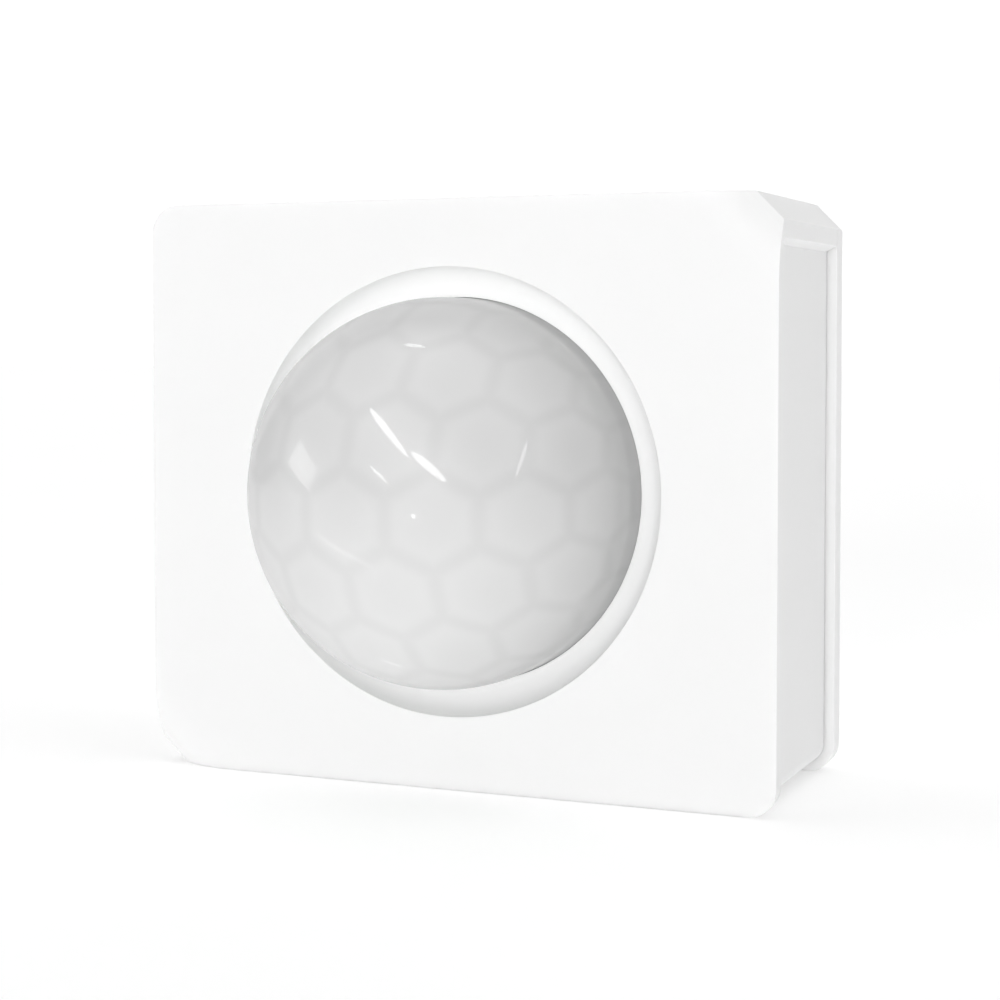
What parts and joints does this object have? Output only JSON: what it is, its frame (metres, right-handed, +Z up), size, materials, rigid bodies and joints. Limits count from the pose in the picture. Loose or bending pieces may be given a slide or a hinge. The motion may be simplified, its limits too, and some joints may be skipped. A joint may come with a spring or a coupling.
{
  "type": "motion sensor",
  "caption": "Small white battery motion sensor with a honeycomb dome lens, two chamfered corners and a slide-on wall plate.",
  "frame": {"origin": "centre of the wall plate's rear face, in the plane of the wall", "axes": "+Z up, +Y into the wall, +X right as seen from the front; the front and its lens face -Y"},
  "size_m": [0.0458, 0.0305, 0.04],
  "materials": {
    "case_plastic": "satin white moulded",
    "lens_plastic": "milky translucent, glossy outside",
    "inner_plastic": "fine moulded texture",
    "holder_plastic": "moulded black",
    "seal_rubber": "silicone, matte",
    "screw_steel": "zinc plated",
    "can_steel": "nickel plated, drawn",
    "cell_steel": "polished stainless steel",
    "filter": "coated dark window",
    "ceramic": "unglazed ceramic",
    "board": "solder mask over glass laminate",
    "gold": "thin gold plate",
    "chip": "moulded epoxy",
    "led": "clear lens over phosphor"
  },
  "bodies": {
    "wall_mount": {"wall_plate": "case_plastic"},
    "sensor_body": {"front_shell": "case_plastic", "dome_lens": "lens_plastic", "lens_gasket": "seal_rubber", "lens_retainer": "inner_plastic", "retainer_screws": "screw_steel", "main_board": "board", "pir_can": "can_steel", "pir_window": "filter", "pir_element": "ceramic", "pir_header": "can_steel", "pir_spacer": "inner_plastic", "pir_leads": "gold", "status_led": "led", "microcontroller": "chip", "radio_shield": "can_steel", "crystal": "can_steel", "chip_antenna": "ceramic", "chip_capacitors": "ceramic", "chip_resistors": "chip", "battery_holder": "holder_plastic", "positive_contact": "gold", "negative_contact": "gold", "coin_cell": "cell_steel", "rear_tray": "inner_plastic", "tray_screws": "screw_steel", "pair_switch": "chip", "tamper_switch": "chip"},
    "battery_door": {"battery_door": "inner_plastic", "door_seal": "seal_rubber"},
    "pair_button": {"pair_button": "inner_plastic", "pair_switch_stem": "inner_plastic"},
    "tamper_plunger": {"tamper_plunger": "inner_plastic", "tamper_switch_stem": "inner_plastic"}
  },
  "joints": [
    {"name": "sensor_lift", "type": "slide", "parent": "wall_mount", "child": "sensor_body", "axis": [0, 0, 1], "range_m": [0, 0.044]},
    {"name": "door_twist", "type": "hinge", "parent": "sensor_body", "child": "battery_door", "pos_m": [0.0022, -0.003, 0], "axis": [0, 1, 0], "range_deg": [0, 30]},
    {"name": "pair_press", "type": "slide", "parent": "sensor_body", "child": "pair_button", "axis": [0, -1, 0], "range_m": [0, 0.0004], "stiffness_N_per_m": 500, "springref_m": -0.0006},
    {"name": "tamper_press", "type": "slide", "parent": "sensor_body", "child": "tamper_plunger", "axis": [0, -1, 0], "range_m": [0, 0.0006], "stiffness_N_per_m": 300, "springref_m": -0.0006}
  ]
}
